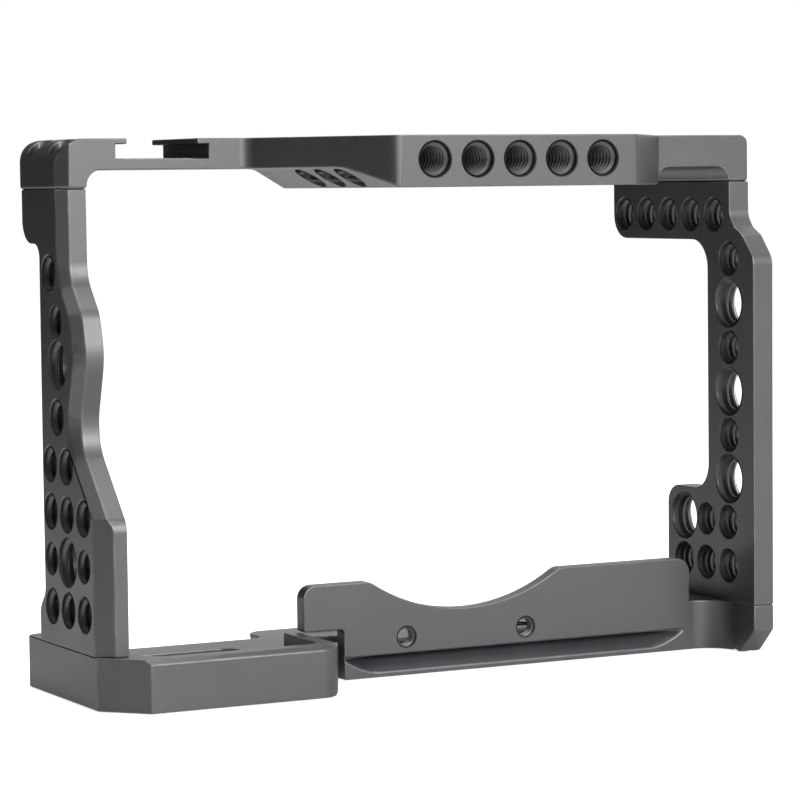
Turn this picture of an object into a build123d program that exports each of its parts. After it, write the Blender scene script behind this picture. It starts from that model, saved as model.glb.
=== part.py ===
from build123d import *
import os

# Camera cage: four machined aluminium plates screwed together round a camera body.
# Millimetres. X runs from the grip side to the port side, -Y is the lens side, +Z is up.
# The origin is the middle of the overall box, at the underside of the base.
# Places are given from datum faces: x from the outer face of the grip-side plate, y from the
# front face of the top plate's shoe arm, and heights up from the underside of the base.

# ---- overall sizes ----
overall_width = 149.2
overall_height = 107.35
boss_reach = 29.0        # boss face, ahead of the shoe arm
rear_reach = 35.6        # rear of the port-side arms, behind the shoe arm's front face
base_height = 10.15      # tray rim and seam of the side plates
leg_height = 9.6         # legs of the top plate, down to their seam

# ---- plate thicknesses ----
grip_plate = 5.88
port_plate = 4.84
shoe_arm_height = 6.0
boss_height = 10.0
port_arm_height = 6.5
camera_floor = 5.5       # base under the camera
lip_thickness = 3.2
seam_break = 0.4         # broken edges along the seams

# ---- places along the width ----
lens_to_port = 65.0      # lens axis and camera screw, from the port side
lens_height = 51.4
shoe_axis = 21.6
boss_to_grip = 27.0      # the boss's two ends, from the lens axis
boss_to_port = 26.5
slope_start = 44.8       # slanted front of the shoe arm, from the lens axis
ramp_top_reach = 33.2    # underside ramp from the shoe arm down to the boss
ramp_foot_reach = 26.2
port_step_inset = 22.0   # where the boss steps up to the port arm
saddle_half = 22.2       # half width of the cut-out over the camera's own shoe
lens_axis = overall_width - lens_to_port
boss_left = lens_axis - boss_to_grip
boss_right = lens_axis + boss_to_port
ramp_top = lens_axis - ramp_top_reach
ramp_foot = lens_axis - ramp_foot_reach
port_step = overall_width - port_step_inset

# ---- depths from the shoe arm's front face ----
shoe_arm_depth = 22.7
port_front = -10.3       # front face of the top plate's port arm
lip_front = -5.4         # front face of the lip and of the base's centre block
tray_front = -23.3
foot_front = -19.2       # front of the port-side plate and of its foot on the base
foot_rear = 14.0
grip_front = -17.15      # lower front of the grip-side plate
saddle_front = -3.0      # front of the top plate's cut-out over the camera's own shoe

# ---- threaded holes, as plain bores at the thread's major diameter ----
quarter_bore = 3.175     # 1/4"-20
three_eighths_bore = 4.7625   # 3/8"-16
m4_bore = 2.0

# ---- assembly screws ----
m3_radius = 1.5
m3_head_radius = 2.75
m3_head_height = 2.9
m25_radius = 1.25
m25_head_radius = 2.2
m25_head_height = 2.5
thread_clearance = 0.05
shank_clearance = 0.15
head_clearance = 0.15
head_sink = 0.2          # heads sit this far below the face
screw_end_gap = 0.3      # below a screw's tip
top_screw_grip = 7.5     # length of thread in the grip-side plate, from above
port_screw_grip = 3.2    # and in the port-side plate, over its row of holes
base_screw_grip = 3.4
dowel_radius = 1.25
dowel_clearance = 0.02
top_dowel_half = 4.0
base_dowel_up = 3.0

# ---- camera screw with its folding ring ----
screw_thread_radius = 3.175
screw_relief_radius = 2.45
screw_reach = 4.6        # thread above the camera floor
screw_bore_clearance = 0.06
screw_head_radius = 6.5
screw_head_height = 2.5
washer_thickness = 0.5
washer_radius = 6.0
recess_depth = 3.5
recess_radius = 13.4
ring_outer_half = 8.8
ring_band = 1.8          # width of the stamped band
ring_thickness = 1.5
ring_reach = 12.5        # from the pivots to the far side
ring_tail = 1.2          # behind the pivots
ring_corner = 6.5
ring_pin_radius = 0.8
ring_pin_depth = 1.6     # how far the pins reach into the head
ring_clearance = 0.05
coin_slot_width = 1.6
coin_slot_depth = 1.2

# ---- silicone pads ----
pad_thickness = 1.0
pad_pocket = 0.5
pad_length = 68.0
pad_depth = 5.0
pad_clearance = 0.05

# ---- worked out ----
grip_x = -overall_width / 2
shoe_y = boss_reach - (boss_reach + rear_reach) / 2
top_seam = overall_height - leg_height
port_inner = overall_width - port_plate
plate_height = top_seam - base_height
grip_head_sink = 3.2       # these heads lie below the rounded corner
grip_seat = m3_head_height + grip_head_sink
m25_seat = m25_head_height + head_sink
dovetail_width = 38.0
base_rear = lip_front + dovetail_width
screw_y = lip_front + dovetail_width / 2


def plan(z):
    """Plane seen from above at height z, x and y from the datum faces."""
    return Plane(origin=(grip_x, shoe_y, z))


def underside(z):
    """Plane seen from below at height z; its y runs the other way."""
    return Plane(origin=(grip_x, shoe_y, z), x_dir=(1, 0, 0), z_dir=(0, 0, -1))


def front(y, height=0):
    """Upright plane at y, facing the lens side; its second direction goes up from a height."""
    return Plane(origin=(grip_x, shoe_y + y, height), x_dir=(1, 0, 0), z_dir=(0, -1, 0))


def side(x):
    """Upright plane at x, facing the port side, y from its datum face and height."""
    return Plane(origin=(grip_x + x, shoe_y, 0), x_dir=(0, 1, 0), z_dir=(1, 0, 0))


def bores(face, centres, radius, depth):
    """Round bores of one size through a face."""
    with Locations(face):
        with Locations(*centres):
            Hole(radius, depth)


# ================= top plate =================
top_outline = [
    ((0, 2.3), 0), ((2.25, 0), 0), ((lens_axis - slope_start, 0), 3.0), ((boss_left, -boss_reach), 2.5),
    ((boss_right, -boss_reach), 1.0), ((port_step, port_front), 1.0), ((overall_width, port_front), 0.6),
    ((overall_width, rear_reach), 3.0), ((lens_axis + saddle_half, rear_reach), 3.0),
    ((lens_axis + saddle_half, saddle_front), 6.0), ((lens_axis - saddle_half, saddle_front), 6.0),
    ((lens_axis - saddle_half, shoe_arm_depth), 3.0), ((0, shoe_arm_depth), 3.0),
]
top_front_view = [
    ((0, 0), 5.5), ((overall_width, 0), 2.0), ((overall_width, -leg_height), 0),
    ((port_inner, -leg_height), 0), ((port_inner, -port_arm_height), 3.0),
    ((port_step, -port_arm_height), 2.8), ((port_step, -boss_height), 0.4),
    ((ramp_foot, -boss_height), 2.0), ((ramp_top, -shoe_arm_height), 4.0),
    ((grip_plate, -shoe_arm_height), 3.0), ((grip_plate, -leg_height), 0), ((0, -leg_height), 0),
]
shoe_slot_width = 19.4
shoe_opening = 14.7
shoe_lip = 1.1
shoe_slot_height = 2.75
boss_hole_pitch = 9.32
boss_hole_drop = 4.65      # below the top face
boss_hole_depth = 14.0
boss_holes = [(lens_axis + i * boss_hole_pitch, -boss_hole_drop) for i in (-2, -1, 0, 1, 2)]
ramp_hole_pitch = 8.7
ramp_holes = [((ramp_top + ramp_foot) / 2, -6.0 + i * ramp_hole_pitch) for i in (1, 0, -1)]
port_arm_hole_inset = 31.7
port_arm_big_inset = 14.2
port_arm_hole_pitch = 11.0
port_arm_middle = 13.0
port_arm_holes = [
    (overall_width - port_arm_hole_inset, port_arm_middle + i * port_arm_hole_pitch) for i in (-1, 0, 1)
]
port_arm_big_hole = [(overall_width - port_arm_big_inset, port_arm_middle)]
grip_top_screws = [(3.4, 5.2), (3.4, 16.2)]
port_top_inset = 2.5
port_top_screws = [(overall_width - port_top_inset, y) for y in (-4.5, 29.5)]
grip_top_dowel = (grip_plate / 2, 10.7)
port_top_dowel = (overall_width - port_plate / 2, 12.5)
top_points, top_radii = zip(*top_outline)
view_points, view_radii = zip(*top_front_view)

with BuildPart() as top_plate:
    with BuildSketch(plan(overall_height)):
        with BuildLine():
            FilletPolyline(*top_points, radius=top_radii, close=True)
        make_face()
    extrude(amount=-boss_height)
    with BuildSketch(front(-boss_reach, overall_height)):
        with BuildLine():
            FilletPolyline(*view_points, radius=view_radii, close=True)
        make_face()
    extrude(amount=-(boss_reach + rear_reach), mode=Mode.INTERSECT)
    # accessory shoe: a T slot along Y, open at both ends
    with BuildSketch(front(0, overall_height)):
        with Locations((shoe_axis, -shoe_lip - shoe_slot_height / 2)):
            Rectangle(shoe_slot_width, shoe_slot_height)
        with Locations((shoe_axis, -shoe_lip / 2)):
            Rectangle(shoe_opening, shoe_lip)
    extrude(amount=-shoe_arm_depth, mode=Mode.SUBTRACT)
    bores(front(-boss_reach, overall_height), boss_holes, quarter_bore, boss_hole_depth)
    bores(plan(overall_height), ramp_holes + port_arm_holes, quarter_bore, boss_height)
    bores(plan(overall_height), port_arm_big_hole, three_eighths_bore, boss_height)
    with Locations(plan(overall_height)):
        with Locations(*grip_top_screws):
            CounterBoreHole(m3_radius + shank_clearance, m3_head_radius + head_clearance, grip_seat,
                            boss_height)
        with Locations(*port_top_screws):
            CounterBoreHole(m25_radius + shank_clearance, m25_head_radius + head_clearance, m25_seat,
                            boss_height)
    with Locations(underside(top_seam)):
        with Locations(*[(x, -y) for x, y in (grip_top_dowel, port_top_dowel)]):
            Hole(dowel_radius + dowel_clearance, top_dowel_half)
    leg_soles = top_plate.faces().filter_by_position(Axis.Z, top_seam - 0.01, top_seam + 0.01)
    chamfer([sole.outer_wire().edges() for sole in leg_soles], seam_break)
top_plate.part.label = "top_plate"

# ================= grip-side plate =================
# The front edge waves round the camera's grip; the rear edge steps in below the leg.
waist_rear = 10.95         # rear edge between its foot and the hook under the leg
foot_rise = 6.5            # straight rear edge of the foot, above the seam
waist_rise = 9.6
hook_drop = 20.1           # down from the top of the cage
hook_rear = 19.8
grip_outline = [
    ((0.6, top_seam), 0), ((0.4, 80.95), 8.0), ((-5.4, 74.25), 6.0), ((-7.7, 66.15), 12.0),
    ((-4.3, 54.55), 10.0), ((-4.45, 48.95), 9.0), ((grip_front, 35.05), 4.5),
    ((grip_front, base_height), 0), ((13.8, base_height), 0), ((13.8, base_height + foot_rise), 3.0),
    ((waist_rear, base_height + waist_rise), 3.0), ((waist_rear, overall_height - hook_drop), 2.8),
    ((hook_rear, overall_height - hook_drop), 4.6),
    ((hook_rear, top_seam), 0),
]
wave_chamfer_in = 1.5      # on the outer face
wave_chamfer_deep = 2.25   # through the thickness
corner_chamfer_in = 3.05   # the wider corner below the wave
corner_chamfer_deep = 3.06
grid_foot = 17.56          # lowest row of holes
grid_pitch = 9.17
grip_rows = [grid_foot + grid_pitch * k for k in reversed(range(8))]
column_rear = 7.1
column_middle = -1.2
column_front = -9.5
grip_quarter_holes = [
    (6.2, grip_rows[0]), (2.9, grip_rows[1]), (3.1, grip_rows[3]),
    (column_rear, grip_rows[4]), (column_middle, grip_rows[4]),
    (column_rear, grip_rows[5]), (column_middle, grip_rows[5]), (column_front, grip_rows[5]),
    (column_rear, grip_rows[6]), (column_front, grip_rows[6]),
    (column_rear, grip_rows[7]), (column_middle, grip_rows[7]), (column_front, grip_rows[7]),
]
big_hole_lift = 0.9
grip_big_holes = [(2.4, grip_rows[2] + big_hole_lift), (column_middle, grip_rows[6])]
grip_base_screws = [(3.0, -11.5), (3.0, 9.6)]
grip_base_dowel = (grip_plate / 2, -1.0)

grip_points, grip_radii = zip(*grip_outline)

with BuildPart() as grip_side_plate:
    with BuildSketch(side(0)):
        with BuildLine():
            FilletPolyline(*grip_points, radius=grip_radii, close=True)
        make_face()
    extrude(amount=grip_plate)
    outer_face = grip_side_plate.faces().sort_by(Axis.X)[0]
    wave_edges = [
        edge for edge in outer_face.edges()
        if edge.center().Y < shoe_y + 1.5 and base_height + 0.1 < edge.center().Z < top_seam - 0.1
    ]
    chamfer(wave_edges, wave_chamfer_in, wave_chamfer_deep, reference=outer_face)
    with BuildSketch(plan(base_height)):
        with BuildLine():
            Polyline((0, grip_front), (corner_chamfer_deep, grip_front),
                     (0, grip_front + corner_chamfer_in), close=True)
        make_face()
    extrude(amount=plate_height, mode=Mode.SUBTRACT)
    bores(side(grip_plate), grip_quarter_holes, quarter_bore, grip_plate)
    bores(side(grip_plate), grip_big_holes, three_eighths_bore, grip_plate)
    with Locations(plan(top_seam)):
        with Locations(*grip_top_screws):
            Hole(m3_radius + thread_clearance, top_screw_grip)
        with Locations(grip_top_dowel):
            Hole(dowel_radius + dowel_clearance, top_dowel_half)
    with Locations(underside(base_height)):
        with Locations(*[(x, -y) for x, y in grip_base_screws]):
            Hole(m25_radius + thread_clearance, base_screw_grip)
        with Locations((grip_base_dowel[0], -grip_base_dowel[1])):
            Hole(dowel_radius + dowel_clearance, base_dowel_up)
grip_side_plate.part.label = "grip_side_plate"

# ================= port-side plate =================
# A C shape, open to the rear so that the doors over the camera's sockets can swing.
strip_rear = -1.9
foot_top = 33.05
arm_drop = 21.75           # lower edge of the arm; these five down from the top of the cage
neck_drop = 16.6
neck_foot_drop = 19.0
shoulder_drop = 20.6
shoulder_foot_drop = 25.4
port_outline = [
    ((-10.4, top_seam), 0), ((-10.4, overall_height - neck_drop), 4.0),
    ((-12.2, overall_height - neck_foot_drop), 3.0), ((-15.2, overall_height - shoulder_drop), 3.0),
    ((-19.3, overall_height - shoulder_foot_drop), 4.0), ((foot_front, base_height), 0),
    ((foot_rear, base_height), 0), ((foot_rear, foot_top), 4.0), ((strip_rear, foot_top), 5.5),
    ((strip_rear, overall_height - arm_drop), 6.0), ((rear_reach, overall_height - arm_drop), 5.0),
    ((rear_reach, top_seam), 0),
]
port_rows = grip_rows
strip_column = -10.0
port_arm_pitch = 8.87
port_arm_row_drop = 16.4
port_arm_row = overall_height - port_arm_row_drop
port_arm_start = 31.1
port_quarter_holes = [(port_arm_start - port_arm_pitch * k, port_arm_row) for k in range(5)] + [
    (strip_column, port_rows[0]), (strip_column, port_rows[2]), (strip_column, port_rows[4]),
    (-1.2, port_rows[6]), (-9.5, port_rows[6]),
    (7.4, port_rows[7]), (-1.2, port_rows[7]), (-9.5, port_rows[7]),
]
port_big_holes = [
    (strip_column, port_rows[1]), (strip_column, port_rows[3]), (strip_column, port_rows[5]),
    (7.4, port_rows[6]),
]
port_base_inset = 2.6
port_base_screws = [(overall_width - port_base_inset, y) for y in (-12.0, 9.8)]
port_base_dowel = (overall_width - port_plate / 2, -1.5)

port_points, port_radii = zip(*port_outline)

with BuildPart() as port_side_plate:
    with BuildSketch(side(port_inner)):
        with BuildLine():
            FilletPolyline(*port_points, radius=port_radii, close=True)
        make_face()
    extrude(amount=port_plate)
    bores(side(overall_width), port_quarter_holes, quarter_bore, port_plate)
    bores(side(overall_width), port_big_holes, three_eighths_bore, port_plate)
    with Locations(plan(top_seam)):
        with Locations(*port_top_screws):
            Hole(m25_radius + thread_clearance, port_screw_grip)
        with Locations(port_top_dowel):
            Hole(dowel_radius + dowel_clearance, top_dowel_half / 2)
    with Locations(underside(base_height)):
        with Locations(*[(x, -y) for x, y in port_base_screws]):
            Hole(m25_radius + thread_clearance, base_screw_grip)
        with Locations((port_base_dowel[0], -port_base_dowel[1])):
            Hole(dowel_radius + dowel_clearance, base_dowel_up)
port_side_plate.part.label = "port_side_plate"

# ================= base plate =================
tray_reach = 36.1          # these three from the lens axis
block_reach = 27.6
block_rear_reach = 32.2
block_rear_inset = 13.2
tray_right = lens_axis - tray_reach
block_left = lens_axis - block_reach
block_rear_left = lens_axis - block_rear_reach
block_rear_right = overall_width - block_rear_inset
tray_corner_left = 7.6
tray_corner = 4.7
notch_end = 1.0
base_outline = [
    ((0, -15.2), 0), ((tray_corner_left, tray_front), 0), ((tray_right, tray_front), tray_corner),
    ((tray_right, notch_end), 4.2), ((block_left, notch_end), 4.2), ((block_left, lip_front), 0),
    ((port_inner, lip_front), 6.5), ((port_inner, foot_front), 0), ((overall_width, foot_front), 0),
    ((overall_width, foot_rear), 2.0), ((block_rear_right, foot_rear), 4.0),
    ((block_rear_right, base_rear), 4.0), ((block_rear_left, base_rear), 4.0),
    ((block_rear_left, shoe_arm_depth), 3.0), ((0, shoe_arm_depth), 3.0),
]
pocket_left = 6.3
pocket_inset = 14.8
pocket_right = overall_width - pocket_inset
pocket_slant = 5.5
tray_wall = 3.8
pocket_outline = [
    ((pocket_left, 2 * base_rear), 0), ((pocket_left, -14.0), 0),
    ((pocket_left + pocket_slant, tray_front + tray_wall), 0),
    ((tray_right - tray_wall, tray_front + tray_wall), 2.5),
    ((tray_right - tray_wall, lip_front + lip_thickness), 1.5),
    ((pocket_right, lip_front + lip_thickness), 1.5), ((pocket_right, 2 * base_rear), 0),
]
lip_reach = 36.5           # from the lens axis
lip_inset = 11.8           # from the port side
lip_left = lens_axis - lip_reach
lip_right = overall_width - lip_inset
lip_top = 19.25
lip_root = 4.35            # the lip runs down inside the block to here
lip_arc_radius = 38.79
lip_shoulder = 3.0
lip_outline = [
    ((lip_left, base_height), 0.6), ((lip_left, lip_top), 2.7), ((lip_right, lip_top), 3.0),
    ((lip_right, lip_root), 0), ((block_left, lip_root), 0), ((block_left, base_height), 0.8),
]
lip_hole_spread = 13.67
lip_hole_height = 7.65
groove_top = 4.55
groove_foot = 0.95
groove_depth = 3.0
cutter_radius = 12.5       # 45 degree dovetail cutter
cutter_start_reach = 19.7
cutter_end_inset = 21.6
cutter_start = lens_axis - cutter_start_reach
cutter_end = overall_width - cutter_end_inset
foot_chamfer = 5.0
tray_top_break = 0.9
tray_end_round = 2.2
battery_margin = 3.5       # left of the tray's floor beside the battery opening
battery_y = 0.5
battery_depth = 26.0
battery_left = pocket_left + battery_margin
battery_right = tray_right - tray_wall - battery_margin
tripod_hole_reach = 22.0
tripod_hole_pitch = 11.0
tripod_quarter_holes = [(lens_axis + tripod_hole_reach + i * tripod_hole_pitch, screw_y) for i in (0, 1)]
tripod_big_holes = [(lens_axis - tripod_hole_reach, screw_y)]
front_pad_y = 2.2
rear_pad_inset = 5.4
rear_pad_y = base_rear - rear_pad_inset
pad_shift = 12.8           # towards the port side
pad_x = lens_axis + pad_shift

base_points, base_radii = zip(*base_outline)
pocket_points, pocket_radii = zip(*pocket_outline)
lip_points, lip_radii = zip(*lip_outline)

with BuildPart() as base_plate:
    with BuildSketch(plan(0)):
        with BuildLine():
            FilletPolyline(*base_points, radius=base_radii, close=True)
        make_face()
    extrude(amount=base_height)
    # the tray's lower right edge is rounded along Y
    with BuildSketch(front(tray_front)):
        with Locations((tray_right - tray_end_round, tray_end_round)):
            Rectangle(2 * tray_end_round, 2 * tray_end_round, align=(Align.MIN, Align.MAX))
            Circle(tray_end_round, mode=Mode.SUBTRACT)
    extrude(amount=-(notch_end - tray_front - 4.2), mode=Mode.SUBTRACT)
    # broken edge along the tray's top, from its left corner round its right one
    tray_rim = [
        edge for edge in base_plate.edges().group_by(Axis.Z)[-1]
        if tray_corner_left < edge.center().X - grip_x < tray_right
        and edge.center().Y - shoe_y < tray_front + tray_corner
    ]
    chamfer(tray_rim, tray_top_break)
    with BuildSketch(plan(camera_floor)):
        with BuildLine():
            FilletPolyline(*pocket_points, radius=pocket_radii, close=True)
        make_face()
    extrude(amount=base_height, mode=Mode.SUBTRACT)
    # front lip, hollowed round the lens mount
    with BuildSketch(front(lip_front)) as lip:
        with BuildLine():
            FilletPolyline(*lip_points, radius=lip_radii, close=True)
        make_face()
        with Locations((lens_axis, lens_height)):
            Circle(lip_arc_radius, mode=Mode.SUBTRACT)
        fillet(lip.vertices().group_by(Axis.Y)[-1].sort_by(Axis.X)[1:3], lip_shoulder)
    extrude(amount=-lip_thickness)
    # dovetail groove along the front, with the round run-outs of its cutter
    with BuildSketch(side(cutter_start)):
        with BuildLine():
            Polyline((lip_front - 1, groove_top), (lip_front + groove_depth, groove_top),
                     (lip_front + groove_depth, groove_foot + groove_depth),
                     (lip_front, groove_foot), (lip_front - 1, groove_foot - 1), close=True)
        make_face()
    extrude(amount=cutter_end - cutter_start, mode=Mode.SUBTRACT)
    cutter_neck = cutter_radius - groove_depth
    with Locations(plan(groove_foot)):
        with Locations((cutter_start, lip_front - cutter_neck), (cutter_end, lip_front - cutter_neck)):
            Cone(cutter_neck, cutter_radius, groove_depth,
                 align=(Align.CENTER, Align.CENTER, Align.MIN), mode=Mode.SUBTRACT)
    with Locations(plan(groove_foot + groove_depth)):
        with Locations((cutter_start, lip_front - cutter_neck), (cutter_end, lip_front - cutter_neck)):
            Cylinder(cutter_radius, groove_top - groove_foot - groove_depth,
                     align=(Align.CENTER, Align.CENTER, Align.MIN), mode=Mode.SUBTRACT)
    # the same groove runs through along the rear
    with BuildSketch(side(block_rear_left - 1)):
        with BuildLine():
            Polyline((base_rear + 1, groove_top), (base_rear - groove_depth, groove_top),
                     (base_rear - groove_depth, groove_foot + groove_depth),
                     (base_rear, groove_foot), (base_rear + 1, groove_foot - 1), close=True)
        make_face()
    extrude(amount=block_rear_right - block_rear_left + 2, mode=Mode.SUBTRACT)
    # chamfer under the foot of the port-side plate
    with BuildSketch(side(port_inner)):
        with BuildLine():
            Polyline((foot_front, 0), (foot_front + foot_chamfer, 0), (foot_front, foot_chamfer),
                     close=True)
        make_face()
    extrude(amount=port_plate, mode=Mode.SUBTRACT)
    bores(front(lip_front), [(lens_axis - lip_hole_spread, lip_hole_height),
                             (lens_axis + lip_hole_spread, lip_hole_height)], m4_bore, lip_thickness)
    # battery door opening through the tray
    with BuildSketch(plan(0)):
        with Locations(((battery_left + battery_right) / 2, battery_y)):
            RectangleRounded(battery_right - battery_left, battery_depth, 4.0)
    extrude(amount=camera_floor, mode=Mode.SUBTRACT)
    # camera screw: recess under the base and the bore through its web
    with Locations(underside(0)):
        with Locations((lens_axis, -screw_y)):
            CounterBoreHole(screw_thread_radius + screw_bore_clearance, recess_radius, recess_depth,
                            camera_floor)
    bores(underside(0), [(x, -y) for x, y in tripod_quarter_holes], quarter_bore, camera_floor)
    bores(underside(0), [(x, -y) for x, y in tripod_big_holes], three_eighths_bore, camera_floor)
    # pad pockets
    with BuildSketch(plan(camera_floor)):
        with Locations((pad_x, front_pad_y), (pad_x, rear_pad_y)):
            SlotOverall(pad_length + 2 * pad_clearance, pad_depth + 2 * pad_clearance)
    extrude(amount=-pad_pocket, mode=Mode.SUBTRACT)
    # screws from below and dowels from above into the side plates
    with Locations(underside(0)):
        with Locations(*[(x, -y) for x, y in grip_base_screws + port_base_screws]):
            CounterBoreHole(m25_radius + shank_clearance, m25_head_radius + head_clearance, m25_seat,
                            base_height)
    with Locations(plan(base_height)):
        with Locations(grip_base_dowel, port_base_dowel):
            Hole(dowel_radius + dowel_clearance, top_dowel_half)
base_plate.part.label = "base_plate"


# ================= assembly screws and dowels =================
def socket_screw(seat, radius, head_radius, head_height, length, socket):
    """Cap screw on a plane at its head's seat, the shank along -normal."""
    with BuildPart(seat) as screw:
        Cylinder(radius, length, align=(Align.CENTER, Align.CENTER, Align.MAX))
        Cylinder(head_radius, head_height, align=(Align.CENTER, Align.CENTER, Align.MIN))
        with BuildSketch(seat.offset(head_height)):
            RegularPolygon(socket / 2, 6, major_radius=False)
        extrude(amount=-head_height / 2, mode=Mode.SUBTRACT)
    return screw.part


def dowel(place, below, above):
    """Plain pin across a seam, from below it to above it."""
    with BuildPart(place.offset(-below)) as pin:
        Cylinder(dowel_radius, below + above, align=(Align.CENTER, Align.CENTER, Align.MIN))
    return pin.part


def at(plane, place):
    """The plane moved to a place given in its own directions."""
    return Plane(origin=plane.from_local_coords((place[0], place[1], 0)), x_dir=plane.x_dir,
                 z_dir=plane.z_dir)


fasteners = {}
top_shank = leg_height - grip_seat + top_screw_grip - screw_end_gap
port_shank = leg_height - m25_seat + port_screw_grip - screw_end_gap
base_shank = base_height - m25_seat + base_screw_grip - screw_end_gap
for end_name, place in zip(("front", "rear"), grip_top_screws):
    fasteners[f"top_screw_grip_{end_name}"] = socket_screw(
        at(plan(overall_height - grip_seat), place), m3_radius, m3_head_radius, m3_head_height, top_shank, 2.5)
for end_name, place in zip(("front", "rear"), port_top_screws):
    fasteners[f"top_screw_port_{end_name}"] = socket_screw(
        at(plan(overall_height - m25_seat), place), m25_radius, m25_head_radius, m25_head_height,
        port_shank, 2.0)
for side_name, places in (("grip", grip_base_screws), ("port", port_base_screws)):
    for end_name, (x, y) in zip(("front", "rear"), places):
        fasteners[f"base_screw_{side_name}_{end_name}"] = socket_screw(
            at(underside(m25_seat), (x, -y)), m25_radius, m25_head_radius, m25_head_height,
            base_shank, 2.0)
fasteners["top_dowel_grip"] = dowel(at(plan(top_seam), grip_top_dowel), 3.8, 3.8)
fasteners["top_dowel_port"] = dowel(at(plan(top_seam), port_top_dowel), 1.8, 3.8)
fasteners["base_dowel_grip"] = dowel(at(plan(base_height), grip_base_dowel), 3.8, 2.8)
fasteners["base_dowel_port"] = dowel(at(plan(base_height), port_base_dowel), 3.8, 2.8)

# ================= camera screw, washer and folding ring =================
head_top = recess_depth - washer_thickness
ring_height = head_top - screw_head_height / 2
screw_place = at(plan(0), (lens_axis, screw_y))


def side_bore(reach, sense):
    """Plane across the ring's pivot axis, a distance out from the screw on one side."""
    return Plane(origin=screw_place.from_local_coords((sense * reach, 0, ring_height)),
                 x_dir=(0, 1, 0), z_dir=(sense, 0, 0))


with BuildPart(screw_place.offset(head_top)) as camera_screw:
    Cylinder(screw_relief_radius, washer_thickness + camera_floor - recess_depth + 0.2,
             align=(Align.CENTER, Align.CENTER, Align.MIN))
    Cylinder(screw_head_radius, screw_head_height, align=(Align.CENTER, Align.CENTER, Align.MAX))
    with Locations((0, 0, washer_thickness + camera_floor - recess_depth + 0.2)):
        Cylinder(screw_thread_radius, screw_reach - 0.2, align=(Align.CENTER, Align.CENTER, Align.MIN))
    chamfer(camera_screw.edges().filter_by(GeomType.CIRCLE).sort_by(Axis.Z)[-1], 0.7)
    chamfer(camera_screw.edges().filter_by(GeomType.CIRCLE).sort_by(Axis.Z)[0], 0.3)
    with BuildSketch(screw_place.offset(head_top - screw_head_height)):
        Rectangle(coin_slot_width, 2 * screw_head_radius)
    extrude(amount=coin_slot_depth, mode=Mode.SUBTRACT)
    # side bores that the ring's ends turn in
    for sense in (-1, 1):
        with BuildSketch(side_bore(screw_head_radius, sense)):
            Circle(ring_pin_radius + ring_clearance)
        extrude(amount=-ring_pin_depth - 0.2, mode=Mode.SUBTRACT)
camera_screw.part.label = "camera_screw"

with BuildPart(screw_place.offset(head_top)) as screw_washer:
    Cylinder(washer_radius, washer_thickness, align=(Align.CENTER, Align.CENTER, Align.MIN))
    Cylinder(screw_relief_radius + 0.1, washer_thickness,
             align=(Align.CENTER, Align.CENTER, Align.MIN), mode=Mode.SUBTRACT)
screw_washer.part.label = "screw_washer"

# stamped D-shaped ring with a pin turned inwards at each end
ring_inner_half = ring_outer_half - ring_band
with BuildPart() as ring_handle:
    with BuildSketch(screw_place.offset(ring_height)):
        with BuildLine():
            FilletPolyline((-ring_outer_half, -ring_tail), (-ring_outer_half, ring_reach),
                           (ring_outer_half, ring_reach), (ring_outer_half, -ring_tail),
                           radius=(0.8, ring_corner, ring_corner, 0.8), close=True)
        make_face()
        with BuildLine():
            FilletPolyline((-ring_inner_half, -2 * ring_tail), (-ring_inner_half, ring_reach - ring_band),
                           (ring_inner_half, ring_reach - ring_band), (ring_inner_half, -2 * ring_tail),
                           radius=(0, ring_corner - ring_band, ring_corner - ring_band, 0), close=True)
        make_face(mode=Mode.SUBTRACT)
    extrude(amount=ring_thickness / 2, both=True)
    for sense in (-1, 1):
        with BuildSketch(side_bore(ring_outer_half, sense)):
            Circle(ring_pin_radius)
        extrude(amount=screw_head_radius - ring_pin_depth - ring_outer_half)
ring_handle.part.label = "ring_handle"

# ================= silicone pads =================
pads = {}
for pad_name, pad_y in (("camera_pad_front", front_pad_y), ("camera_pad_rear", rear_pad_y)):
    with BuildPart() as pad:
        with BuildSketch(plan(camera_floor - pad_pocket)):
            with Locations((pad_x, pad_y)):
                SlotOverall(pad_length, pad_depth)
        extrude(amount=pad_thickness)
    pads[pad_name] = pad.part

# ================= export =================
os.makedirs("parts", exist_ok=True)
export_step(top_plate.part, "parts/top_plate.step")
export_step(grip_side_plate.part, "parts/grip_side_plate.step")
export_step(port_side_plate.part, "parts/port_side_plate.step")
export_step(base_plate.part, "parts/base_plate.step")
export_step(camera_screw.part, "parts/camera_screw.step")
export_step(screw_washer.part, "parts/screw_washer.step")
export_step(ring_handle.part, "parts/ring_handle.step")
for name, solid in {**fasteners, **pads}.items():
    solid.label = name
    export_step(solid, f"parts/{name}.step")
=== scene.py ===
from collections import namedtuple
from math import ceil, cos, pi, radians, sin, tau

import bmesh
import bpy
from mathutils import Matrix, Vector


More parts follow.
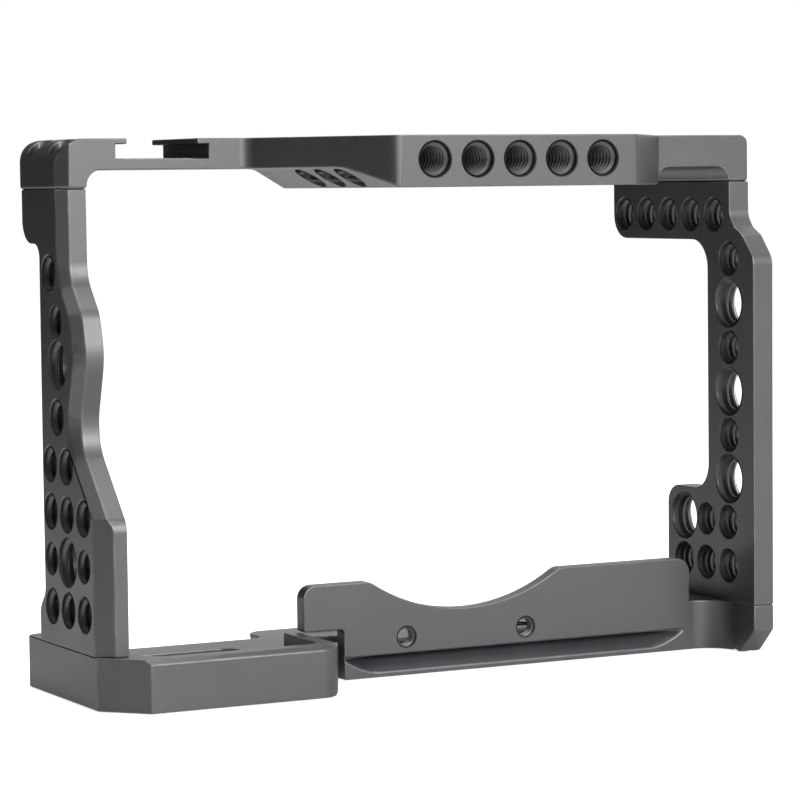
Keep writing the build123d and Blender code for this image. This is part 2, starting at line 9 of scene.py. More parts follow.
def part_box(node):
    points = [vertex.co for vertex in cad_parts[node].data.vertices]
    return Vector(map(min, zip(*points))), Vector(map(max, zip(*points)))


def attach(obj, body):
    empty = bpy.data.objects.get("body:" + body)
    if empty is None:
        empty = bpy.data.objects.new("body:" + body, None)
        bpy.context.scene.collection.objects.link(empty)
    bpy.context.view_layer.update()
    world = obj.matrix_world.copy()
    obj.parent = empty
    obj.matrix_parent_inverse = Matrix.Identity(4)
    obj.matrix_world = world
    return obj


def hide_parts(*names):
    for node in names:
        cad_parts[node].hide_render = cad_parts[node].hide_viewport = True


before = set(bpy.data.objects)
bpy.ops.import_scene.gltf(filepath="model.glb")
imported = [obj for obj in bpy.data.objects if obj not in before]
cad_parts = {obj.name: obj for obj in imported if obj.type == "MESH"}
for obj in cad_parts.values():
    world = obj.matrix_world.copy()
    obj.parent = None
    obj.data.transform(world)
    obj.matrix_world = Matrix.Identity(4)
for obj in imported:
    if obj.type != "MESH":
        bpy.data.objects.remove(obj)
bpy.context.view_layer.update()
mm = 0.001

# ---- Top plate ----
# Milled from aluminium bar, bead-blasted, then anodised black. It screws down on the two side
# plates and carries the accessory shoe, the boss over the lens and the port-side arm.


def set_inputs(tree, node, **inputs):
    """Inputs from other nodes' outputs or as plain values, by name, or by i and number."""
    for key, value in inputs.items():
        numbered = key[0] == "i" and key[1:].isdigit()
        socket = node.inputs[int(key[1:]) if numbered else key.replace("_", " ")]
        if isinstance(value, bpy.types.NodeSocket):
            tree.links.new(value, socket)
        else:
            socket.default_value = value
    return node.outputs


def add_node(tree, kind, settings=(), **inputs):
    """A new node with its settings and inputs."""
    node = tree.nodes.new("ShaderNode" + kind)
    for key, value in dict(settings).items():
        setattr(node, key, value)
    return set_inputs(tree, node, **inputs)


def ranged(tree, amount, low, high, start, end):
    """A value that runs from start to end as the amount runs from low to high."""
    return add_node(tree, "MapRange", Value=amount, i1=low, i2=high, i3=start, i4=end)[0]


def tinted(tree, amount, low, high, dark, light):
    """A colour that runs from dark to light as the amount runs from low to high."""
    return add_node(tree, "MapRange", {"data_type": "FLOAT_VECTOR"}, Vector=amount,
                    i7=(low,) * 3, i8=(high,) * 3, i9=dark, i10=light)["Vector"]


def shader_group(name, inputs, outputs):
    """An empty node group with its ends, ready to be wired."""
    tree = bpy.data.node_groups.new(name, "ShaderNodeTree")
    for title, kind, value in inputs:
        socket = tree.interface.new_socket(title, in_out="INPUT", socket_type=kind)
        if value is not None:
            socket.default_value = value
    for title in outputs:
        tree.interface.new_socket(title, in_out="OUTPUT", socket_type="NodeSocketFloat")
    given = tree.nodes.new("NodeGroupInput").outputs
    return tree, given, tree.nodes.new("NodeGroupOutput")


def bead_blasted_group():
    """Overlapping dimples of glass beads, with a slow unevenness of the dye."""
    tree, given, put = shader_group(
        "bead_blasted",
        [("Coordinates", "NodeSocketVector", None),
         ("Dimples per metre", "NodeSocketFloat", 3200.0)],
        ["Height", "Mottle"])
    dimple = add_node(tree, "TexVoronoi", {"feature": "SMOOTH_F1"}, Vector=given["Coordinates"],
                      Scale=given["Dimples per metre"], Smoothness=0.6)
    grit = add_node(tree, "TexNoise", Vector=given["Coordinates"], Scale=9000.0, Detail=2.0)
    height = add_node(tree, "Math", {"operation": "MULTIPLY_ADD"},
                      i0=grit[0], i1=0.5, i2=dimple["Distance"])
    cloud = add_node(tree, "TexNoise", Vector=given["Coordinates"], Scale=55.0, Detail=5.0,
                     Roughness=0.62)
    set_inputs(tree, put, Height=height[0], Mottle=cloud[0])
    return tree


def worn_edge_highlight_group():
    """Where the dye has worn thin along the broken edges, in short runs, with a painted highlight
    on the same edges.
    """
    tree, given, put = shader_group(
        "worn_edge_highlight",
        [("Coordinates", "NodeSocketVector", None), ("Edge", "NodeSocketFloat", 0.0),
         ("Least", "NodeSocketFloat", 0.15)],
        ["Mask"])
    runs = add_node(tree, "TexNoise", Vector=given["Coordinates"], Scale=260.0, Detail=3.0)
    spread = ranged(tree, runs[0], 0.42, 0.66, given["Least"], 1.0)
    mask = add_node(tree, "Math", {"operation": "MULTIPLY"}, i0=spread, i1=given["Edge"])
    set_inputs(tree, put, Mask=mask[0])
    return tree


bead_blasted = bead_blasted_group()
worn_edge_highlight = worn_edge_highlight_group()


def new_material(name):
    """A material with its Principled shader and the object's own coordinates."""
    material = bpy.data.materials.new(name)
    material.use_nodes = True
    tree = material.node_tree
    return material, tree, tree.nodes["Principled BSDF"], add_node(tree, "TexCoord")["Object"]


def anodised_finish():
    material, tree, shader, place = new_material("black_anodised_aluminium")
    blast = add_node(tree, "Group", {"node_tree": bead_blasted}, Coordinates=place)
    edge = add_node(tree, "Attribute", {"attribute_name": "broken_edge"})
    wear_and_highlight = add_node(tree, "Group", {"node_tree": worn_edge_highlight}, Coordinates=place,
                    Edge=edge["Fac"])
    dye = tinted(tree, blast["Mottle"], 0.3, 0.7, (0.014, 0.015, 0.018), (0.020, 0.021, 0.025))
    # lighter along the broken edges and the hole rims: worn dye, and a painted highlight there
    colour = add_node(tree, "Mix", {"data_type": "RGBA"}, i0=wear_and_highlight["Mask"], i6=dye,
                      i7=(0.055, 0.056, 0.06, 1.0))
    bump = add_node(tree, "Bump", Strength=0.12, Distance=0.00004, Height=blast["Height"])
    set_inputs(tree, shader, Base_Color=colour[2], Normal=bump[0], IOR=1.85,
               Roughness=ranged(tree, blast["Mottle"], 0.3, 0.7, 0.40, 0.47))
    return material


anodised = anodised_finish()
TappedHole = namedtuple("TappedHole", "mouth inward thread depth through", defaults=(True,))
same_point = 0.002 * mm       # points nearer than this are one
flat_angle = radians(0.6)     # facets that meet at less than this are one face
cut_edge = 0.28 * mm          # edges broken after milling
narrow_face = 0.26 * mm       # a shallow edge beside a narrower face stays as it is
curve_angle = radians(29)     # shallower edges belong to a curve
crisp_angle = radians(40)     # sharper edges are always broken
mouth_angle = radians(30)     # a tapped hole's mouth is sharper than this
bore_slack = 0.3 * mm         # round a fastener, to the rim of its bore
bore_overrun = 1.0 * mm       # beyond each end of a fastener, still in its bore
least_land = 0.03             # left on each side between two countersunk mouths, in mm
on_wall = 0.05                # a point this near to a hole's wall or end is on it, in mm
strong, weak = 16384, -16384  # a face's say in the normals round it
# how much of the lighter edge colour the broken edges and the hole mouths' chamfers get: worn dye
# and a painted highlight
edge_wear_and_highlight, rim_wear_and_highlight = 1.0, 0.6


def fastener_bores():
    """Middle, reach and half length of each upright bore that holds a screw or a pin."""
    found = []
    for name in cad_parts:
        if "_screw_" in name or "_dowel_" in name:
            low, high = (Vector(corner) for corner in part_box(name))
            reach = (high.x - low.x) / 2 + bore_slack
            found.append(((low + high) / 2, reach, (high.z - low.z) / 2 + bore_overrun))
    return found


fasteners = fastener_bores()


def within(point, bores):
    """Whether a point lies in one of the bores, its rim included."""
    for middle, reach, half in bores:
        away = point - middle
        if abs(away.z) < half and away.xy.length < reach:
            return True
    return False


def off_axis(point, hole):
    """Distance of a point from a hole's axis, in mm."""
    return (point - hole.mouth).cross(Vector(hole.inward).normalized()).length / mm


def on_bore(point, hole):
    """Whether a point lies on a tapped hole's wall."""
    return abs(off_axis(point, hole) - hole.thread["bore"]) < on_wall


def mouth_edges(solid, hole):
    """The edges round the open ends of a tapped hole, but not round an end on a slant."""
    axis = Vector(hole.inward).normalized()
    ends = [0.0] if callable(hole.depth) else [0.0, hole.depth]

    def on_mouth(point):
        along = (point - hole.mouth).dot(axis) / mm
        return on_bore(point, hole) and any(abs(along - end) < on_wall for end in ends)

    return [e for e in solid.edges if e.is_manifold and e.is_convex
            and e.calc_face_angle() > mouth_angle and all(on_mouth(v.co) for v in e.verts)]


def bevelled(solid, edges, width, segments, clamp, slide):
    """The new faces along the edges."""
    return bmesh.ops.bevel(solid, geom=edges, offset=width, offset_type="OFFSET",
                           segments=segments, profile=0.5, affect="EDGES",
                           clamp_overlap=clamp, loop_slide=slide)["faces"]


def countersink(solid, hole, others, mark, say):
    """A chamfer at each mouth of a tapped hole, narrower where another hole is close."""
    axis, bore = Vector(hole.inward).normalized(), hole.thread["bore"]
    width = hole.thread["rim"] - bore
    for other in others:
        if other is not hole and abs(axis.dot(Vector(other.inward).normalized())) > 0.99:
            between = off_axis(other.mouth, hole) - bore - other.thread["bore"]
            width = min(width, between / 2 - least_land)
    # the chamfer gets the lighter edge colour, a painted highlight on the hole's rim along with
    # worn dye
    for face in bevelled(solid, mouth_edges(solid, hole), width * mm, 1, False, False):
        face[mark] = rim_wear_and_highlight
        face[say] = strong


def new_object(name, solid, material=None):
    """The mesh as an object in the scene, with its material."""
    mesh = bpy.data.meshes.new(name)
    solid.to_mesh(mesh)
    solid.free()
    made = bpy.data.objects.new(name, mesh)
    bpy.context.collection.objects.link(made)
    if material:
        mesh.materials.append(material)
    return made


def smooth_object(name, solid, material, sharp):
    """The mesh as a smooth object, whose edges are sharp above an angle in degrees."""
    for face in solid.faces:
        face.smooth = True
    made = new_object(name, solid, material)
    made.data.set_sharp_from_angle(angle=radians(sharp))
    return made


def machined(node_name, holes=(), body="cage", material=anodised,
             width=cut_edge, clamp=False):
    """The piece with its machined edges broken, standing for its plain node. The tapped holes
    get their own chamfers, and the bores of the fasteners stay as drilled."""
    solid = bmesh.new()
    solid.from_mesh(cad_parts[node_name].data)
    bmesh.ops.remove_doubles(solid, verts=solid.verts, dist=same_point)
    bmesh.ops.dissolve_limit(solid, angle_limit=flat_angle, verts=solid.verts,
                             edges=solid.edges)
    mark = solid.faces.layers.float.new("broken_edge")
    say = solid.faces.layers.int.new("__mod_weightednormals_faceweight")
    rims = {v for v in solid.verts if any(on_bore(v.co, hole) for hole in holes)}
    bored = {v for v in solid.verts if within(v.co, fasteners)}

    def is_cut(edge):
        """Whether an edge is broken: not round a bore, and not a shallow one by a sliver."""
        if not (edge.is_manifold and edge.is_convex and edge.calc_face_angle() > curve_angle):
            return False
        if any(all(v in found for v in edge.verts) for found in (rims, bored)):
            return False
        smaller = min(face.calc_area() for face in edge.link_faces)
        return (edge.calc_face_angle() > crisp_angle
                or smaller > edge.calc_length() * narrow_face)

    for face in solid.faces:
        face[say] = strong
    # the broken edges get the lighter edge colour: worn dye and a painted highlight
    for face in bevelled(solid, [e for e in solid.edges if is_cut(e)], width, 2, clamp, True):
        face[mark] = edge_wear_and_highlight
        face[say] = weak
    for hole in holes:
        countersink(solid, hole, holes, mark, say)
    low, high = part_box(node_name)
    for vert in solid.verts:
        vert.co = [min(max(at, start), end) for at, start, end in zip(vert.co, low, high)]
    piece = smooth_object(node_name + "_machined", solid, material, sharp=28)
    flat = piece.modifiers.new("flat_faces", "WEIGHTED_NORMAL")
    flat.mode = "FACE_AREA"
    flat.use_face_influence = True
    flat.weight = 75
    flat.thresh = 2e-7
    flat.keep_sharp = True
    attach(piece, body)
    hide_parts(node_name)
    return piece


def finish_piece(solid, name, body, material, sharp=30):
    """The mesh as a smooth piece on its body."""
    bmesh.ops.recalc_face_normals(solid, faces=solid.faces)
    piece = smooth_object(name, solid, material, sharp)
    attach(piece, body)
    return piece


half_width = 74.6
front_offset = -3.3
top_height = 107.35


def from_corner(x, y, z):
    """A place on the cage: x from the grip side, y from the shoe arm's front, z from the top."""
    return Vector((x - half_width, y + front_offset, top_height - z)) * mm


quarter_inch = {"bore": 3.175, "crest": 2.54, "rim": 3.68, "pitch": 1.27}
three_eighths = {"bore": 4.7625, "crest": 3.98, "rim": 5.28, "pitch": 1.5875}
turn_steps = 40
flanks = [(0, -0.45), (1, -0.11), (1, 0.11), (0, 0.45)]  # on the crest or not, share of pitch
sunk = 0.04                   # how far a ridge's foot lies in its wall, in mm
end_gap = 0.03                # from a ridge to the end of its hole or screw, in mm


def join_rings(solid, rings):
    """Skin between rings of equal count, closed at both ends."""
    for low, high in zip(rings, rings[1:]):
        count = len(low)
        for k in range(count):
            after = (k + 1) % count
            solid.faces.new((low[k], low[after], high[after], high[k]))
    solid.faces.new(rings[0][::-1])
    solid.faces.new(rings[-1])


def thread_ridge(solid, mouth, inward, thread, depth, through=True):
    """One turned ridge of a thread, from its mouth inwards. It stands inwards in a tapped hole
    and outwards on a screw, whose crest is wider than its core. depth is a number, or a
    function of the place round the hole where the far face slants."""
    inward = Vector(inward).normalized()
    across = inward.orthogonal().normalized()
    other = inward.cross(across)
    pitch, bore, crest = thread["pitch"], thread["bore"], thread["crest"]
    lead = abs(thread["rim"] - bore)
    height, sense = abs(crest - bore), 1 if crest > bore else -1
    far = depth if callable(depth) else (lambda out: depth)
    probes = [k * tau / 24 for k in range(24)]
    deepest = max(far(cos(a) * across + sin(a) * other) for a in probes)
    rings = []
    for k in range(-turn_steps // 2, ceil((deepest / pitch + 0.5) * turn_steps) + 1):
        angle = tau * k / turn_steps
        out = cos(angle) * across + sin(angle) * other
        end = far(out)
        middle = pitch * k / turn_steps
        spot = min(max(middle, 0.0), end)
        room = min(spot - lead, height)
        if through:
            room = min(room, end - spot - lead)
        ring = []
        for high, along in flanks:
            axial = min(max(middle + along * pitch, end_gap), end - end_gap)
            radius = bore + sense * (max(room, -sunk) if high else -sunk)
            ring.append(solid.verts.new(mouth + (inward * axial + out * radius) * mm))
        rings.append(ring)
    join_rings(solid, rings)


def tapped_holes(name, holes):
    """All tapped threads of a plate, as one piece on it."""
    solid = bmesh.new()
    for hole in holes:
        thread_ridge(solid, *hole)
    return finish_piece(solid, name, "cage", anodised, sharp=40)


lens_axis = 84.2
boss_front, boss_height = -29.0, 10.0
boss_hole_drop, boss_hole_pitch, boss_hole_depth = 4.65, 9.32, 13.6
ramp_top, ramp_foot, ramp_hole_x = 51.0, 58.0, 54.5
shoe_arm_height = 6.0
arm_hole_x, arm_big_x, arm_middle, arm_height = 117.5, 135.0, 13.0, 6.5


def ramp_depth(out):
    """Depth of a ramp hole: its lower mouth lies on the slanted underside."""
    down = (ramp_hole_x + quarter_inch["bore"] * out.x - ramp_top) / (ramp_foot - ramp_top)
    return shoe_arm_height + (boss_height - shoe_arm_height) * down


top_holes = (
    [TappedHole(from_corner(lens_axis + boss_hole_pitch * i, boss_front, boss_hole_drop),
                (0, 1, 0), quarter_inch, boss_hole_depth, False) for i in (-2, -1, 0, 1, 2)]
    + [TappedHole(from_corner(ramp_hole_x, y, 0), (0, 0, -1), quarter_inch, ramp_depth)
       for y in (2.7, -6.0, -14.7)]
    + [TappedHole(from_corner(arm_hole_x, y, 0), (0, 0, -1), quarter_inch, boss_height)
       for y in (2.0, arm_middle, 24.0)]
    + [TappedHole(from_corner(arm_big_x, arm_middle, 0), (0, 0, -1), three_eighths,
                  arm_height)])
machined("top_plate", top_holes)
tapped_holes("top_plate_threads", top_holes)

# ---- Grip-side plate ----
# Stands round the camera's grip and is nearly 6 mm thick: its front edge is milled in a wave for
# the fingers and it is tapped in three columns, same alloy and same finish as the top plate.
grip_thickness = 5.88
row_1, row_2, row_3, row_4, row_5, row_6, row_7, row_8 = (25.6 + 9.17 * k for k in range(8))
rear, middle, fore = 7.1, -1.2, -9.5
big_hole_lift = 0.9

grip_quarters = [
    (6.2, row_1), (2.9, row_2), (3.1, row_4), (rear, row_5), (middle, row_5),
    (rear, row_6), (middle, row_6), (fore, row_6), (rear, row_7), (fore, row_7),
    (rear, row_8), (middle, row_8), (fore, row_8)]
grip_bigs = [(2.4, row_3 - big_hole_lift), (middle, row_7)]
grip_holes = [
    TappedHole(from_corner(0, y, z), (1, 0, 0), thread, grip_thickness)
    for thread, places in ((quarter_inch, grip_quarters), (three_eighths, grip_bigs))
    for y, z in places]
machined("grip_side_plate", grip_holes)
tapped_holes("grip_side_threads", grip_holes)

# ---- Port-side plate ----
# A C-shaped plate, open to the rear for the doors over the camera's sockets, tapped along its
# arm, down its front strip and in its foot.
cage_width, port_thickness = 2 * half_width, 4.84
row_start, row_pitch, row_drop = 31.1, 8.87, 16.4
strip, foot_rear = -10.0, 7.4

port_quarters = [(row_start - row_pitch * k, row_drop) for k in range(5)] + [
    (strip, row_1), (strip, row_3), (strip, row_5), (middle, row_7), (fore, row_7),
    (foot_rear, row_8), (middle, row_8), (fore, row_8)]
port_bigs = [(strip, row_2), (strip, row_4), (strip, row_6), (foot_rear, row_7)]
port_holes = [
    TappedHole(from_corner(cage_width, y, z), (-1, 0, 0), thread, port_thickness)
    for thread, places in ((quarter_inch, port_quarters), (three_eighths, port_bigs))
    for y, z in places]
machined("port_side_plate", port_holes)
tapped_holes("port_side_threads", port_holes)

# ---- Base plate ----
# The camera stands in it: a tray under the grip, a hollowed lip before the camera's foot and a
# dovetail along both long edges for a quick-release clamp. Milled from one block.
m4 = {"bore": 2.0, "crest": 1.64, "rim": 2.3, "pitch": 0.7}
lip_front, lip_thickness, lip_hole_spread, lip_hole_z = -5.4, 3.2, 13.67, 99.7
floor_height, screw_y, tripod_reach, tripod_pitch = 5.5, 13.6, 22.0, 11.0

base_holes = (
    [TappedHole(from_corner(lens_axis + side * lip_hole_spread, lip_front, lip_hole_z),
                (0, 1, 0), m4, lip_thickness) for side in (-1, 1)]
    + [TappedHole(from_corner(lens_axis + x, screw_y, top_height), (0, 0, 1), thread,
                  floor_height)
       for x, thread in ((tripod_reach, quarter_inch),
                         (tripod_reach + tripod_pitch, quarter_inch),
                         (-tripod_reach, three_eighths))])
machined("base_plate", base_holes)
tapped_holes("base_plate_threads", base_holes)


def add_block(solid, centre, size):
    """A block of a size in mm, round its centre."""
    scale = Matrix.Diagonal([side * mm for side in size] + [1])
    bmesh.ops.create_cube(solid, size=1.0, matrix=Matrix.Translation(centre) @ scale)


# the foot's thin wall beside the counterbore of its front screw
web_middle = from_corner(144.39, -12.0, top_height - 1.5)
web_size = (0.09, 1.7, 2.5)
web = bmesh.new()
add_block(web, web_middle, web_size)
foot_web = new_object("foot_web", web, anodised)
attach(foot_web, "cage")

# ---- Assembly screws ----
# Black-oxide cap screws with a knurled head and a hexagon socket, two at each corner of the
# frame, sunk in counterbores: M3 into the grip side from above, M2.5 elsewhere.
m3 = {"radius": 1.5, "head": 2.75, "height": 2.9, "socket": 2.5}
m25 = {"radius": 1.25, "head": 2.2, "height": 2.5, "socket": 2.0}


def oxide_finish():
    material, tree, shader, place = new_material("black_oxide_steel")
    grain = add_node(tree, "TexNoise", Vector=place, Scale=2600.0, Detail=3.0)[0]
    set_inputs(tree, shader, Metallic=0.6, Roughness=ranged(tree, grain, 0.3, 0.7, 0.30, 0.42),
               Base_Color=tinted(tree, grain, 0.35, 0.65, (0.020, 0.020, 0.022),
                                 (0.045, 0.044, 0.046)))
    return material


black_oxide = oxide_finish()


def turned_solid(rings, spokes, place):
    """A solid turned from rings, each of one radius or of a radius for each spoke."""
    solid = bmesh.new()
    made = []
    for radii, height in rings:
        if not isinstance(radii, list):
            radii = [radii] * spokes
        made.append([solid.verts.new(place @ Vector((
            r * cos(tau * k / spokes), r * sin(tau * k / spokes), height)))
            for k, r in enumerate(radii)])
    join_rings(solid, made)
    return solid


def knurled(radius, cut, spokes):
    """Radii of a knurled ring, every other spoke cut in."""
    return [radius - cut * (k % 2) for k in range(spokes)]


def hexagon(across_flats, spokes):
    """Radii of a hexagonal ring."""
    return [across_flats / 2 / cos((tau * k / spokes) % (pi / 3) - pi / 6) for k in range(spokes)]


def cap_screw(node_name, size, up):
    """A cap screw in the place of its plain node, its head at the top or at the bottom."""
    low, high = (Vector(corner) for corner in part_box(node_name))
    centre = (low + high) / 2
    length = (high.z - low.z) / mm
    top = high.z if up > 0 else low.z
    place = (Matrix.Translation((centre.x, centre.y, top))
             @ Matrix.Diagonal((up * mm, mm, up * mm, 1)))
    spokes = 72
    shank, head, height = size["radius"], size["head"], size["height"]
    knurl, socket = knurled(head, 0.09, spokes), hexagon(size["socket"], spokes)
    solid = turned_solid([
        (shank - 0.35, -length), (shank, -length + 0.35), (shank, -height),
        (head - 0.12, -height), (knurl, -height + 0.15), (knurl, -0.42), (head - 0.1, -0.3),
        (head - 0.3, -0.04), (head - 0.42, 0), (hexagon(size["socket"] + 0.25, spokes), 0),
        (socket, -0.13), (socket, -height * 0.55), (0.05, -height * 0.62)], spokes, place)
    screw = finish_piece(solid, node_name + "_turned", "cage", black_oxide)
    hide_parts(node_name)


for end in ("front", "rear"):
    cap_screw("top_screw_grip_" + end, m3, 1)
    cap_screw("top_screw_port_" + end, m25, 1)
    cap_screw("base_screw_grip_" + end, m25, -1)
    cap_screw("base_screw_port_" + end, m25, -1)

# ---- Dowel pins ----
# Ground stainless pins, one across each seam, that place the plates before the screws go in.


def stainless_finish():
    material, tree, shader, place = new_material("turned_stainless")
    round_about = add_node(tree, "Mapping", Vector=place, Scale=(60.0, 60.0, 9000.0))
    lathe = add_node(tree, "TexNoise", Vector=round_about[0], Scale=1.0, Detail=3.0)[0]
    bump = add_node(tree, "Bump", Strength=0.1, Distance=0.00002, Height=lathe)
    set_inputs(tree, shader, Metallic=1.0, Normal=bump[0],
               Roughness=ranged(tree, lathe, 0.3, 0.7, 0.20, 0.34),
               Base_Color=tinted(tree, lathe, 0.3, 0.7, (0.50, 0.49, 0.48), (0.60, 0.59, 0.58)))
    return material


stainless = stainless_finish()
for pin in ("top_dowel_grip", "top_dowel_port", "base_dowel_grip", "base_dowel_port"):
    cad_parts[pin].material_slots[0].material = stainless

# ---- Camera screw ----
# Turned stainless 1/4 inch screw, captive in the base: rolled thread, relieved neck, knurled head
# with a coin slot and a side bore at each end of the ring. It goes up into the camera's socket.
head_radius, head_thickness = 6.5, 2.5
neck_radius, core_radius, thread_radius = 2.45, 2.56, 3.17
neck_end = head_thickness + 2.7
coin_slot = (1.6, 16, 2.4)
side_bore_radius, side_bore_depth = 0.85, 3.6
head_spokes = 120
screw_low, screw_high = (Vector(corner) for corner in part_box("camera_screw"))
screw_foot = Vector(((screw_low.x + screw_high.x) / 2, (screw_low.y + screw_high.y) / 2,
                     screw_low.z))
screw_length = (screw_high.z - screw_low.z) / mm


def cut_away(piece, name, solid):
    """The piece with a tool's shape cut out of it, for good."""
    tool = new_object(name, solid)
    cut = piece.modifiers.new(name, "BOOLEAN")
    cut.operation, cut.solver, cut.object = "DIFFERENCE", "EXACT", tool
    bpy.context.view_layer.update()
    whole = piece.evaluated_get(bpy.context.evaluated_depsgraph_get())
    mesh = bpy.data.meshes.new_from_object(whole)
    piece.modifiers.clear()
    piece.data = mesh
    bpy.data.objects.remove(tool)
    mesh.set_sharp_from_angle(angle=radians(30))


head_knurl = knurled(head_radius, 0.16, head_spokes)
turned = turned_solid([
    (0.4, 0.0), (head_radius - 0.5, 0.0), (head_radius - 0.3, 0.12), (head_knurl, 0.32),
    (head_knurl, head_thickness - 0.3), (head_radius - 0.3, head_thickness - 0.1),
    (head_radius - 0.45, head_thickness), (neck_radius, head_thickness),
    (neck_radius, neck_end), (core_radius, neck_end + 0.15), (core_radius, screw_length - 0.5),
    (core_radius - 0.45, screw_length)],
    head_spokes, Matrix.Translation(screw_foot) @ Matrix.Scale(mm, 4))
camera_screw = finish_piece(turned, "camera_screw_turned", "screw", stainless)
slot_tool = bmesh.new()
add_block(slot_tool, screw_foot, coin_slot)
cut_away(camera_screw, "coin_slot", slot_tool)
bore_tool = bmesh.new()
for side in (-1, 1):
    bore_place = screw_foot + Vector((side * head_radius, 0, head_thickness / 2)) * mm
    bmesh.ops.create_cone(
        bore_tool, cap_ends=True, segments=32, radius1=side_bore_radius * mm,
        radius2=side_bore_radius * mm, depth=side_bore_depth * mm,
        matrix=Matrix.Translation(bore_place) @ Matrix.Rotation(pi / 2, 4, "Y"))
cut_away(camera_screw, "ring_bores", bore_tool)
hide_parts("camera_screw")

rolled = bmesh.new()
thread_ridge(
    rolled, screw_foot + Vector((0, 0, screw_length)) * mm, (0, 0, -1),
    {"bore": core_radius, "crest": thread_radius, "rim": core_radius + 0.25, "pitch": 1.27},
    screw_length - neck_end)
finish_piece(rolled, "camera_screw_thread", "screw", stainless, sharp=40)

# ---- Folding ring ----
# A flat D stamped from stainless sheet and tumbled, with a pin at each end that turns in the
# head's side bores. It folds flat into the recess either way.
tumbled_edge = 0.15 * mm
machined("ring_handle", (), "ring", stainless, tumbled_edge, clamp=True)

# ---- Nylon washer ----
# Punched from natural nylon sheet. It keeps the screw's head from marking the base.


def nylon_finish():
    material, tree, shader, place = new_material("natural_nylon")
    cloud = add_node(tree, "TexNoise", Vector=place, Scale=900.0, Detail=3.0)[0]
    set_inputs(tree, shader, Roughness=ranged(tree, cloud, 0.3, 0.7, 0.38, 0.5),
               Base_Color=tinted(tree, cloud, 0.3, 0.7, (0.70, 0.69, 0.63), (0.78, 0.77, 0.72)))
    return material


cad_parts["screw_washer"].material_slots[0].material = nylon_finish()

# ---- Silicone pads ----
# Two moulded strips pressed into pockets of the camera floor, ribbed so that the camera's
# underside can't slip. They stand half their thickness above the floor.
pad_rounding = 0.28
rib_pitch = 2.0
rib_form = ((0.0, 0.0), (0.12, 0.22), (0.24, 0.0), (0.76, 0.0), (0.88, 0.0))  # share, depth
end_steps = 8


def silicone_finish():
    material, tree, shader, place = new_material("black_silicone")
    bloom = add_node(tree, "TexNoise", Vector=place, Scale=180.0, Detail=4.0)[0]
    skin = add_node(tree, "TexNoise", Vector=place, Scale=5200.0, Detail=2.0)[0]
    bump = add_node(tree, "Bump", Strength=0.2, Distance=0.00003, Height=skin)
    set_inputs(tree, shader, Normal=bump[0],
               Roughness=ranged(tree, bloom, 0.3, 0.7, 0.58, 0.72),
               Base_Color=tinted(tree, bloom, 0.35, 0.7, (0.022, 0.022, 0.024),
                                 (0.036, 0.036, 0.038)))
    return material


silicone = silicone_finish()


def ribbed_pad(node_name):
    """The strip as cross-sections along its length, its ends round, its top cut into ribs."""
    low, high = (Vector(corner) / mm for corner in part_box(node_name))
    half, centre = (high.y - low.y) / 2, (low.y + high.y) / 2
    round_end = [half * (1 - cos(pi / 2 * k / end_steps)) for k in range(end_steps + 1)]
    ribs = int((high.x - low.x - 2 * half) / rib_pitch)
    start = (low.x + high.x - ribs * rib_pitch) / 2
    stations = [(low.x + inset, 0.0) for inset in round_end]
    for k in range(ribs):
        stations += [(start + rib_pitch * (k + share), cut) for share, cut in rib_form]
    stations += [(high.x - inset, 0.0) for inset in reversed(round_end)]
    solid = bmesh.new()
    sections = []
    for x, cut in stations:
        beyond = max(low.x + half - x, x - (high.x - half), 0.0)
        wide = max((half * half - beyond * beyond) ** 0.5, 0.05)
        top = high.z - cut
        turn = min(pad_rounding, wide * 0.6)
        outline = [(-wide, low.z), (-wide, top - turn)]
        outline += [(-wide + turn * (1 - cos(a)), top - turn * (1 - sin(a)))
                    for a in (pi / 6, pi / 3, pi / 2)]
        outline += [(-y, z) for y, z in reversed(outline)]
        sections.append([solid.verts.new(Vector((x, centre + y, z)) * mm) for y, z in outline])
    join_rings(solid, sections)
    pad = finish_piece(solid, node_name + "_moulded", "cage", silicone, sharp=45)
    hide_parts(node_name)


ribbed_pad("camera_pad_front")
ribbed_pad("camera_pad_rear")

# ---- Camera, light and background ----
# Plain white floor and backdrop, one broad soft lamp in front and a weaker one above. A folding
# screen of dark felt stands on the grip side, so that the flat faces part at their edges.
lens_place = Vector((-0.297769, -0.574011, 0.098352))
azimuth, pitch_down, roll = radians(27.380), radians(3.881), radians(0.654)
forward = Vector((sin(azimuth) * cos(pitch_down), cos(azimuth) * cos(pitch_down),
                  -sin(pitch_down)))
level = Vector((cos(azimuth), -sin(azimuth), 0.0))
upright = level.cross(forward)
right = cos(roll) * level - sin(roll) * upright
up = sin(roll) * level + cos(roll) * upright
camera = bpy.data.objects.new("camera", bpy.data.cameras.new("camera"))
camera.matrix_world = (Matrix.Translation(lens_place)
                       @ Matrix((right, up, -forward)).transposed().to_4x4())
camera.data.sensor_width = 36.0
camera.data.lens = 144.40
camera.data.clip_start = 0.01
bpy.context.collection.objects.link(camera)
bpy.context.scene.camera = camera


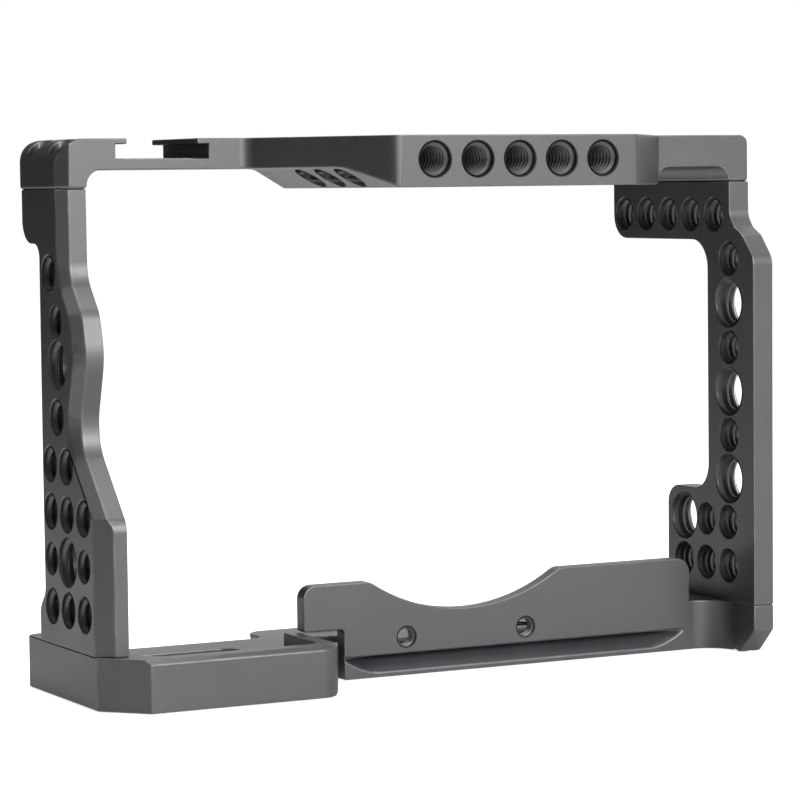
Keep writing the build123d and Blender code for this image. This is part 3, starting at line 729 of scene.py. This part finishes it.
def sees_background(tree, dim, full, mirrored):
    """Full for the camera and through glass, mirrored in reflections, dim as a light."""
    rays = add_node(tree, "LightPath")
    seen = add_node(tree, "Math", {"operation": "MAXIMUM"},
                    i0=rays["Is Camera Ray"], i1=rays["Is Transmission Ray"])
    direct = ranged(tree, seen[0], 0.0, 1.0, dim, full)
    gloss = add_node(tree, "Math", {"operation": "MULTIPLY"},
                     i0=rays["Is Glossy Ray"], i1=mirrored - dim)
    return add_node(tree, "Math", {"operation": "ADD"}, i0=direct, i1=gloss[0])[0]


white, tree, paint, _ = new_material("white_floor")
set_inputs(tree, paint, Base_Color=(0.8, 0.8, 0.8, 1), Roughness=0.9, Specular_IOR_Level=0.0)
glow = add_node(tree, "Emission", Strength=sees_background(tree, 0.0, 0.8, 0.15))
both = add_node(tree, "AddShader", i0=paint.outputs["BSDF"], i1=glow["Emission"])
set_inputs(tree, tree.nodes["Material Output"], Surface=both["Shader"])
ground = bmesh.new()
bmesh.ops.create_grid(ground, x_segments=1, y_segments=1, size=6.0)
floor = new_object("floor", ground, white)
floor.location.z = -0.0002

felt, tree, paint, _ = new_material("dark_felt")
set_inputs(tree, paint, Base_Color=(0.03, 0.03, 0.03, 1), Roughness=0.9)
screen = bmesh.new()
feet = [screen.verts.new((x, y, 0.0)) for x, y in ((-0.38, -0.80), (-0.42, 0.22), (0.04, 0.42))]
tops = [screen.verts.new(foot.co + Vector((0, 0, 0.9))) for foot in feet]
for k in (0, 1):
    screen.faces.new((feet[k], feet[k + 1], tops[k + 1], tops[k]))
dark_screen = new_object("dark_screen", screen, felt)
dark_screen.visible_camera = False

world = bpy.data.worlds.new("studio")
bpy.context.scene.world = world
world.use_nodes = True
set_inputs(world.node_tree, world.node_tree.nodes["Background"], Color=(1, 1, 1, 1),
           Strength=sees_background(world.node_tree, 0.3, 1.0, 1.0))


def soft_lamp(name, place, size, watts):
    lamp = bpy.data.objects.new(name, bpy.data.lights.new(name, "AREA"))
    lamp.data.shape = "RECTANGLE"
    lamp.data.size, lamp.data.size_y = size
    lamp.data.energy = watts
    lamp.location = place
    towards = Vector((0, 0, 0.05)) - Vector(place)
    lamp.rotation_euler = towards.to_track_quat("-Z", "Y").to_euler()
    bpy.context.collection.objects.link(lamp)


soft_lamp("key", (0.14, -1.13, 0.55), (0.7, 0.6), 16.5)
soft_lamp("above", (0.0, 0.06, 1.2), (1.0, 0.32), 11.0)

bpy.context.scene.view_settings.view_transform = "Standard"
